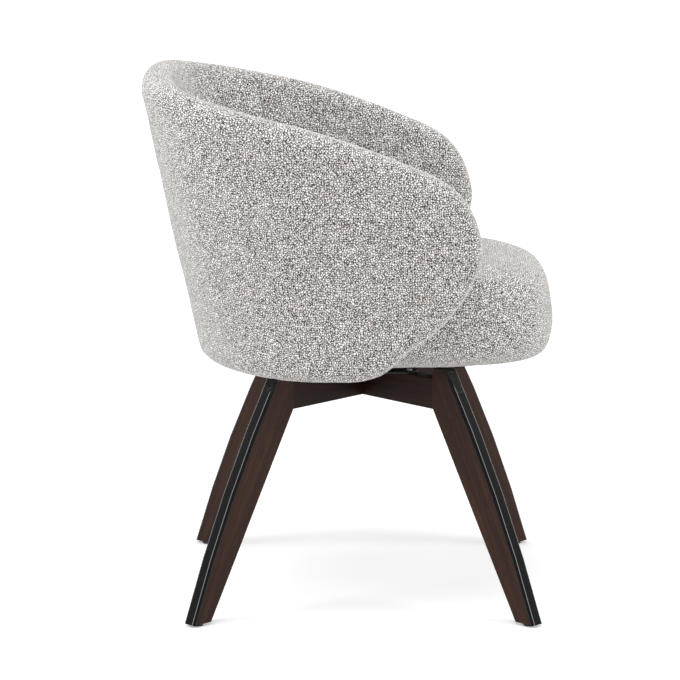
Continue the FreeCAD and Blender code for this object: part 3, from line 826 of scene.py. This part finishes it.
# Bearing from the rear, with the crest and the lower edge as shares of the back's height
rear_rows = ((0, 1.000, 0.000), (12, 0.993, 0.000), (24, 0.980, 0.000), (35, 0.957, 0.000),
             (46, 0.931, 0.000), (56, 0.904, 0.000), (68, 0.873, 0.002), (79, 0.840, 0.007),
             (90, 0.8035, 0.014))
# Share of the arm's reach, with its lower edge and crest
arm_rows = ((0.15, 0.034, 0.782), (0.39, 0.113, 0.743), (0.60, 0.175, 0.7075), (0.75, 0.239, 0.670),
            (0.868, 0.305, 0.619), (0.94, 0.363, 0.566), (0.98, 0.406, 0.515), (1.00, 0.460, 0.460))
corner_run = math.radians(90) * turn_radius
tip_run = corner_run + math.radians(90) * arm_reach
seam_run = math.radians(side_seam) * turn_radius
wall_runs = [math.radians(row[0]) * turn_radius for row in rear_rows]
wall_runs += [corner_run + math.asin(row[0]) * arm_reach for row in arm_rows]
wall_tops = [row[1] for row in rear_rows] + [row[2] for row in arm_rows]
wall_lows = [row[2] for row in rear_rows] + [row[1] for row in arm_rows]
mirror_runs = [-wall_runs[2], -wall_runs[1]]


def wall_station(run):
    """The wall's section at a signed distance run round from the rear, left side positive.

    The ends are the reach and level of its centre under the crest and above the foot.
    """
    side = np.where(run < 0, -1.0, 1.0)
    run = np.abs(run)
    fan = run <= corner_run
    angle = np.clip(run, 0, corner_run) / turn_radius
    ahead = np.clip(run - corner_run, 0, tip_run - corner_run) / arm_reach
    forward = arm_reach * np.sin(ahead)
    at = mirror_runs + wall_runs
    top = back_low + back_tall * smooth_between(at, [wall_tops[2], wall_tops[1]] + wall_tops, run)
    low = back_low + back_tall * smooth_between(at, [0.0, 0.0] + wall_lows, run)
    turned = np.sin(angle) ** 2
    to_tip = np.minimum((arm_reach - forward) / side_half, 1.0)
    half = np.where(fan, rear_half * (1 - turned) + side_half * turned,
                    side_half * np.sqrt(np.maximum(1 - (1 - to_tip) ** 2, 0)))
    base = np.where(fan, oval_radius(angle, base_rear, base_side, base_power), base_side)
    crest = np.where(fan, oval_radius(angle, crest_rear, crest_side, crest_power),
                     crest_side + arm_widening * forward / arm_reach)
    crest_level = np.where(fan, top - half, arm_crest_level)
    slope = (crest - base) / (crest_level - back_low - side_half)
    direction = np.stack([np.where(fan, -np.cos(angle), 0.0),
                          side * np.where(fan, np.sin(angle), 1.0)], axis=-1)
    origin = np.stack([np.where(fan, 0.0, forward), np.zeros_like(run)], axis=-1)
    ends = [(base + slope * (centre - back_low - side_half), centre)
            for centre in (top - half, low + half)]
    return direction, origin, half, slope, ends


def wall_grid(runs, places):
    """Points of the wall at a table of runs, with a column for each place round its section.

    A place is an angle from the crest's middle, positive outwards, up to 90 at a face; from 90 to
    190 it goes down the face, and from 190 on it turns under the foot.
    """
    direction, origin, half, slope, ((high_reach, high), (foot_reach, foot)) = wall_station(runs)
    length = np.sqrt(1 + slope ** 2)
    along, out = (slope / length, 1 / length), (1 / length, -slope / length)
    side = np.sign(places)[None, :]
    size = np.abs(places)[None, :]
    on_crest = np.where(size < face_top, size, 90.0)
    on_foot = np.where(size > face_foot, section_bottom - size, 90.0)
    turn = np.radians(np.where(size <= face_middle, on_crest, on_foot))
    down_face = np.clip((size - face_top) / (face_foot - face_top), 0, 1)
    across = side * np.sin(turn) * half
    beyond = np.cos(turn) * half * np.where(size <= face_middle, 1.0, -1.0)
    fall_in, fall = foot_reach - high_reach, foot - high
    across = across + side * wall_crown * np.hypot(fall_in, fall) * np.sin(math.pi * down_face)
    centre_reach = high_reach + fall_in * down_face
    centre_level = high + fall * down_face
    reach = centre_reach + out[0] * across + along[0] * beyond
    level = centre_level + out[1] * across + along[1] * beyond
    x = origin[..., 0] + direction[..., 0] * reach
    y = origin[..., 1] + direction[..., 1] * reach
    return np.stack([x, y, level], axis=-1), half


wall_fabric_thickness = 0.6 * fabric_thickness
# Degrees round an edge from its seam, where the panels have their finer rows
near_seam = np.array([0, 1.2, 2.8, 5.0, 8.0, 12.0, 17.0, 24.0])


def face_places(side, count):
    """Places down one face from the crest's seam to the foot's, and their angles from each."""
    turns = []
    for seam in (crest_seam, foot_seam):
        full = 90 - side * seam
        further = np.linspace(near_seam[-1], full, 3 + int(full / 9))[1:]
        turns.append(np.concatenate([near_seam, further]))
    upper = crest_seam + side * turns[0]
    middle = side * (face_top + (face_foot - face_top) * np.linspace(0, 1, count)[1:-1])
    lower = foot_seam + side * turns[1][::-1]
    lower = np.where(lower == 0, section_bottom, np.sign(lower) * (section_bottom - np.abs(lower)))
    places = np.concatenate([upper, middle, lower])
    far = np.full(len(middle), 90.0)
    return (places, np.concatenate([turns[0], far, 0 * turns[1] + 90]),
            np.concatenate([0 * turns[0] + 90, far, turns[1][::-1]]))


half_ring = np.concatenate([np.arange(0, face_top, 15), np.arange(face_top, face_foot, 2.5),
                            np.arange(face_foot, section_bottom + 1, 15)])
ring_places = np.concatenate([-half_ring[:0:-1], half_ring])
ring_runs = np.linspace(-0.985, 0.985, 171) * tip_run
open_ring = ring_places[:-1]
ring_grid, _ = wall_grid(ring_runs[:, None] + 0 * open_ring[None, :], open_ring)
ring_held = 0.4 * np.exp(-((open_ring - crest_seam) / 12) ** 2)
from_foot_seam = open_ring - section_bottom + foot_seam
ring_held = np.maximum(ring_held, 0.7 * np.exp(-(from_foot_seam / 16) ** 2))
ring_held = np.broadcast_to(ring_held[None, :], ring_grid.shape[:2]).copy()
upright = np.exp(-((np.abs(ring_runs[:, None]) - seam_run) / 7) ** 2) * (open_ring[None, :] < 0)
ring_held = np.maximum(ring_held, 0.5 * upright)
ring_held = np.maximum(ring_held, (np.abs(ring_runs[:, None]) > 0.965 * tip_run) * 1.0)
wall_swell_most = 1.6
wall_swell = swollen(ring_grid, ring_held, start_smaller, wall_swell_most)
from_crest_middle = np.abs(open_ring)
on_face = (np.clip((from_crest_middle - 60) / 45, 0, 1)
           * np.clip((225 - from_crest_middle) / 45, 0, 1))
near_tip = np.clip((0.97 * tip_run - np.abs(ring_runs)) / 40, 0, 1)
wall_swell *= on_face[None, :, None] * near_tip[:, None, None]
wall_swell = np.concatenate([wall_swell, wall_swell[:, :1]], axis=1)


def side_seam_run(places):
    """The run of the upright seam at each place: it drifts towards the rear as it climbs."""
    climb = 1 - np.clip((np.abs(places) - 40) / 150, 0, 1)
    return seam_run - side_seam_drift * climb ** 1.6


def wall_cloth(grid, places, runs, half):
    """Each point's place on the flat cloth: along the run, and up the face and over its edges."""
    per_rise, round_nose = 1.05, 1.2
    size = np.abs(places)
    middle = int(np.argmin(np.abs(size - face_middle)))
    across = lengths_along(grid[:, middle:middle + 1], 0)
    down = lengths_along(grid, 1)
    along = across + 0 * down
    up = per_rise * grid[:, middle:middle + 1, 2] + down[:, middle:middle + 1] - down
    level = up.copy()
    for at, turned, angle in ((face_top, size < face_top, size),
                              (face_foot, size > face_foot, section_bottom - size)):
        edge = int(np.argmin(np.abs(size - at)))
        lean = np.arctan2(np.abs(np.gradient(grid[:, edge, 2])), np.gradient(across[:, 0]))
        share = np.sin(lean)[:, None] ** 2
        rise = (per_rise * (grid[..., 2] - grid[:, edge:edge + 1, 2])
                - (level - level[:, edge:edge + 1]))
        up += np.where(turned, share * rise, 0)
        inward = half * (1 - np.abs(np.sin(np.radians(angle))))
        along += np.where(turned, np.sign(runs) * share * round_nose * inward, 0)
    return np.stack([along, up], axis=-1)


def wall_panel(name, side, first, last):
    """One boucle panel of the back between two ends: a tip, or the upright seam on either hand."""
    places, crest_angle, foot_angle = face_places(side, 62)
    ends = {"right tip": -tip_run + 0 * places, "right seam": -side_seam_run(places),
            "left seam": side_seam_run(places), "left tip": tip_run + 0 * places}
    start, finish = ends[first], ends[last]
    span = float(np.mean(finish - start))
    step_length = 5.0
    shares = set(np.linspace(0, 1, max(int(span / step_length), 2)))
    for step in (0.5, 1.2, 2.2, 3.6):
        shares.update([step / span] if "seam" in first else [])
        shares.update([1 - step / span] if "seam" in last else [])
    shares = np.array(sorted(shares))[:, None]
    runs = start[None, :] + (finish - start)[None, :] * shares
    grid, half = wall_grid(runs, places)
    ring_place = (places + section_bottom) % (2 * section_bottom) - section_bottom
    grid = grid + sampled(wall_swell, ring_runs, ring_places, runs, ring_place[None, :] + 0 * runs)
    normals = grid_normals(grid, False)
    if side > 0:
        normals = -normals
    round_edge = np.maximum(half, 8)
    from_crest = np.radians(crest_angle)[None, :] * round_edge
    from_foot = np.radians(foot_angle)[None, :] * round_edge
    from_side = np.full(runs.shape, 1e3)
    for end, edge in ((first, start), (last, finish)):
        if "seam" in end:
            from_side = np.minimum(from_side, np.abs(runs - edge[None, :]))
    narrow = np.clip(half / 6.0, 0, 1)
    ahead, opening_rear, opening_front = grid[..., 0], 40, 168
    opening = (np.clip((ahead - opening_rear) / 15, 0, 1)
               * np.clip((opening_front - ahead) / 30, 0, 1))
    groove = (-0.4 * np.exp(-(from_crest / 1.0) ** 2)
              - (0.4 + 0.9 * opening) * np.exp(-(from_foot / 1.0) ** 2)
              - 1.0 * np.exp(-(from_side / 1.2) ** 2) - 0.6 * np.exp(-(from_side / 6) ** 2))
    waves = 0.8 * soft_noise(grid, 90, 14) + 0.35 * soft_noise(grid, 30, 19)
    from_seam = np.minimum(np.minimum(from_crest, from_foot), from_side)
    fade = (1 - np.exp(-(from_seam / 10) ** 2)) * np.clip(half / side_half, 0, 1)
    # Seam marks: painted shade in the upright seams and along the foot seam where the arm opens
    # from the seat.
    painted_shade_highlight = np.maximum(opening * np.exp(-(from_foot / 0.9) ** 2),
                      0.6 * np.exp(-(from_side / 1.0) ** 2))
    if side > 0:
        # Painted highlights on the outer panel: a lip above the foot, a line by the crest seam on
        # the arms, the thin tips.
        on_arm = np.clip((np.abs(runs) - 150) / 150, 0, 1)
        painted_shade_highlight = painted_shade_highlight - opening * np.exp(-((from_foot - 3.6) / 1.8) ** 2)
        painted_shade_highlight = painted_shade_highlight - 0.8 * on_arm * np.exp(-((from_crest - 1.5) / 3.5) ** 2)
        painted_shade_highlight = painted_shade_highlight - 0.7 * np.exp(-(half / 8) ** 2)
    grid = grid + normals * (groove * narrow + waves * fade)[..., None]
    cloth = wall_cloth(grid, places, runs, half) + side * np.array([2000.0, 0.0])
    piece = fabric_shell(name, grid, normals, wall_fabric_thickness, False, painted_shade_highlight, cloth)
    piece.data.materials.append(boucle)
    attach(piece, "seat")
    return piece


outer_panel = wall_panel("back_outer_panel", 1, "right tip", "left tip")
inner_panel = wall_panel("back_inner_panel", -1, "right seam", "left seam")
left_panel = wall_panel("left_arm_inner_panel", -1, "left seam", "left tip")
right_panel = wall_panel("right_arm_inner_panel", -1, "right tip", "right seam")
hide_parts("outer_back_cover", "back_foam")
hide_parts("inner_back_cover")
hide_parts("inner_arm_cover_left")
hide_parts("inner_arm_cover_right")

# Studio
# A white paper floor in a white room, with one broad soft light overhead and one at each side.
# Polished edges mirror the room, which is grey at the sides and white behind the chair.


def studio_white(name, near_light, far_light):
    """White paper; its own light, for the camera only, makes up for the lamps' fall-off."""
    material, tree, shader = new_material(name)
    settle(shader, Base_Color=(0.86, 0.86, 0.86, 1.0), Roughness=0.9,
           Emission_Color=(1.0, 1.0, 1.0, 1.0))
    rays = add(tree, "ShaderNodeLightPath")
    place = add(tree, "ShaderNodeTexCoord")
    away = add(tree, "ShaderNodeVectorMath", operation="LENGTH")
    link(tree, place.outputs["Object"], away.inputs[0])
    far = math_node(tree, "MULTIPLY", away.outputs["Value"], 0.1)
    falling = ramp(tree, far, [(0.1, (near_light,) * 3), (0.5, (far_light,) * 3)])
    glow = math_node(tree, "MULTIPLY", rays.outputs["Is Camera Ray"], falling)
    link(tree, glow, shader.inputs["Emission Strength"])
    return material


floor_mesh = bpy.data.meshes.new("floor")
reach = 30
floor_corners = [(-reach, -reach, 0), (reach, -reach, 0), (reach, reach, 0), (-reach, reach, 0)]
floor_mesh.from_pydata(floor_corners, [], [(0, 1, 2, 3)])
floor = new_object("floor", floor_mesh)
floor.data.materials.append(studio_white("floor_white", 0.28, 0.62))

world = bpy.data.worlds.new("studio_surround")
bpy.context.scene.world = world
world.use_nodes = True
sky = world.node_tree
sky.nodes.clear()
rays = add(sky, "ShaderNodeLightPath")
heading = add(sky, "ShaderNodeTexCoord")
axes = add(sky, "ShaderNodeSeparateXYZ")
link(sky, heading.outputs["Generated"], axes.inputs[0])
backdrop = ramp(sky, axes.outputs["Y"],
                [(0.0, (0.20,) * 3), (0.25, (0.45,) * 3), (0.75, (1.0,) * 3)], "EASE")
ambient = 0.77
mirrored = math_node(sky, "SUBTRACT", backdrop, ambient)
in_camera = math_node(sky, "MULTIPLY", rays.outputs["Is Camera Ray"], 1.0 - ambient)
in_gloss = math_node(sky, "MULTIPLY", rays.outputs["Is Glossy Ray"], mirrored)
strength = math_node(sky, "ADD", math_node(sky, "ADD", in_camera, in_gloss), ambient)
surround = add(sky, "ShaderNodeBackground")
link(sky, strength, surround.inputs["Strength"])
link(sky, surround.outputs[0], add(sky, "ShaderNodeOutputWorld").inputs["Surface"])


def softbox(name, place, aim, width, height, power):
    lamp = bpy.data.lights.new(name, "AREA")
    lamp.shape = "RECTANGLE"
    lamp.size, lamp.size_y, lamp.energy = width, height, power
    holder = new_object(name, lamp)
    holder.location = place
    direction = np.array(aim, float) - np.array(place, float)
    holder.rotation_euler = Vector(direction).to_track_quat("-Z", "Y").to_euler()


softbox("overhead", (-0.4, -0.6, 3.2), (0, 0, 0.4), 2.4, 2.4, 54)
softbox("left_side", (-3.0, -1.2, 1.6), (0, 0, 0.4), 1.2, 2.4, 52)
softbox("right_side", (3.0, -1.0, 1.4), (0, 0, 0.4), 1.2, 2.4, 52)

# Camera
# A long lens about six metres away on the sitter's right, a little above and tipped down.
view_height, view_distance, view_shift, view_tilt = 1.60106, 5.9997, -0.03365, 0.202195
focal_pixels, picture_pixels = 4131.8, 680
lens = bpy.data.cameras.new("long_lens")
lens.sensor_width = 36.0
lens.lens = 36.0 * focal_pixels / picture_pixels
lens.clip_end = 100.0
camera = new_object("camera", lens)
camera.location = (view_shift, -view_distance, view_height)
camera.rotation_euler = (math.pi / 2 - view_tilt, 0, 0)
bpy.context.scene.camera = camera
bpy.context.scene.view_settings.view_transform = "Standard"
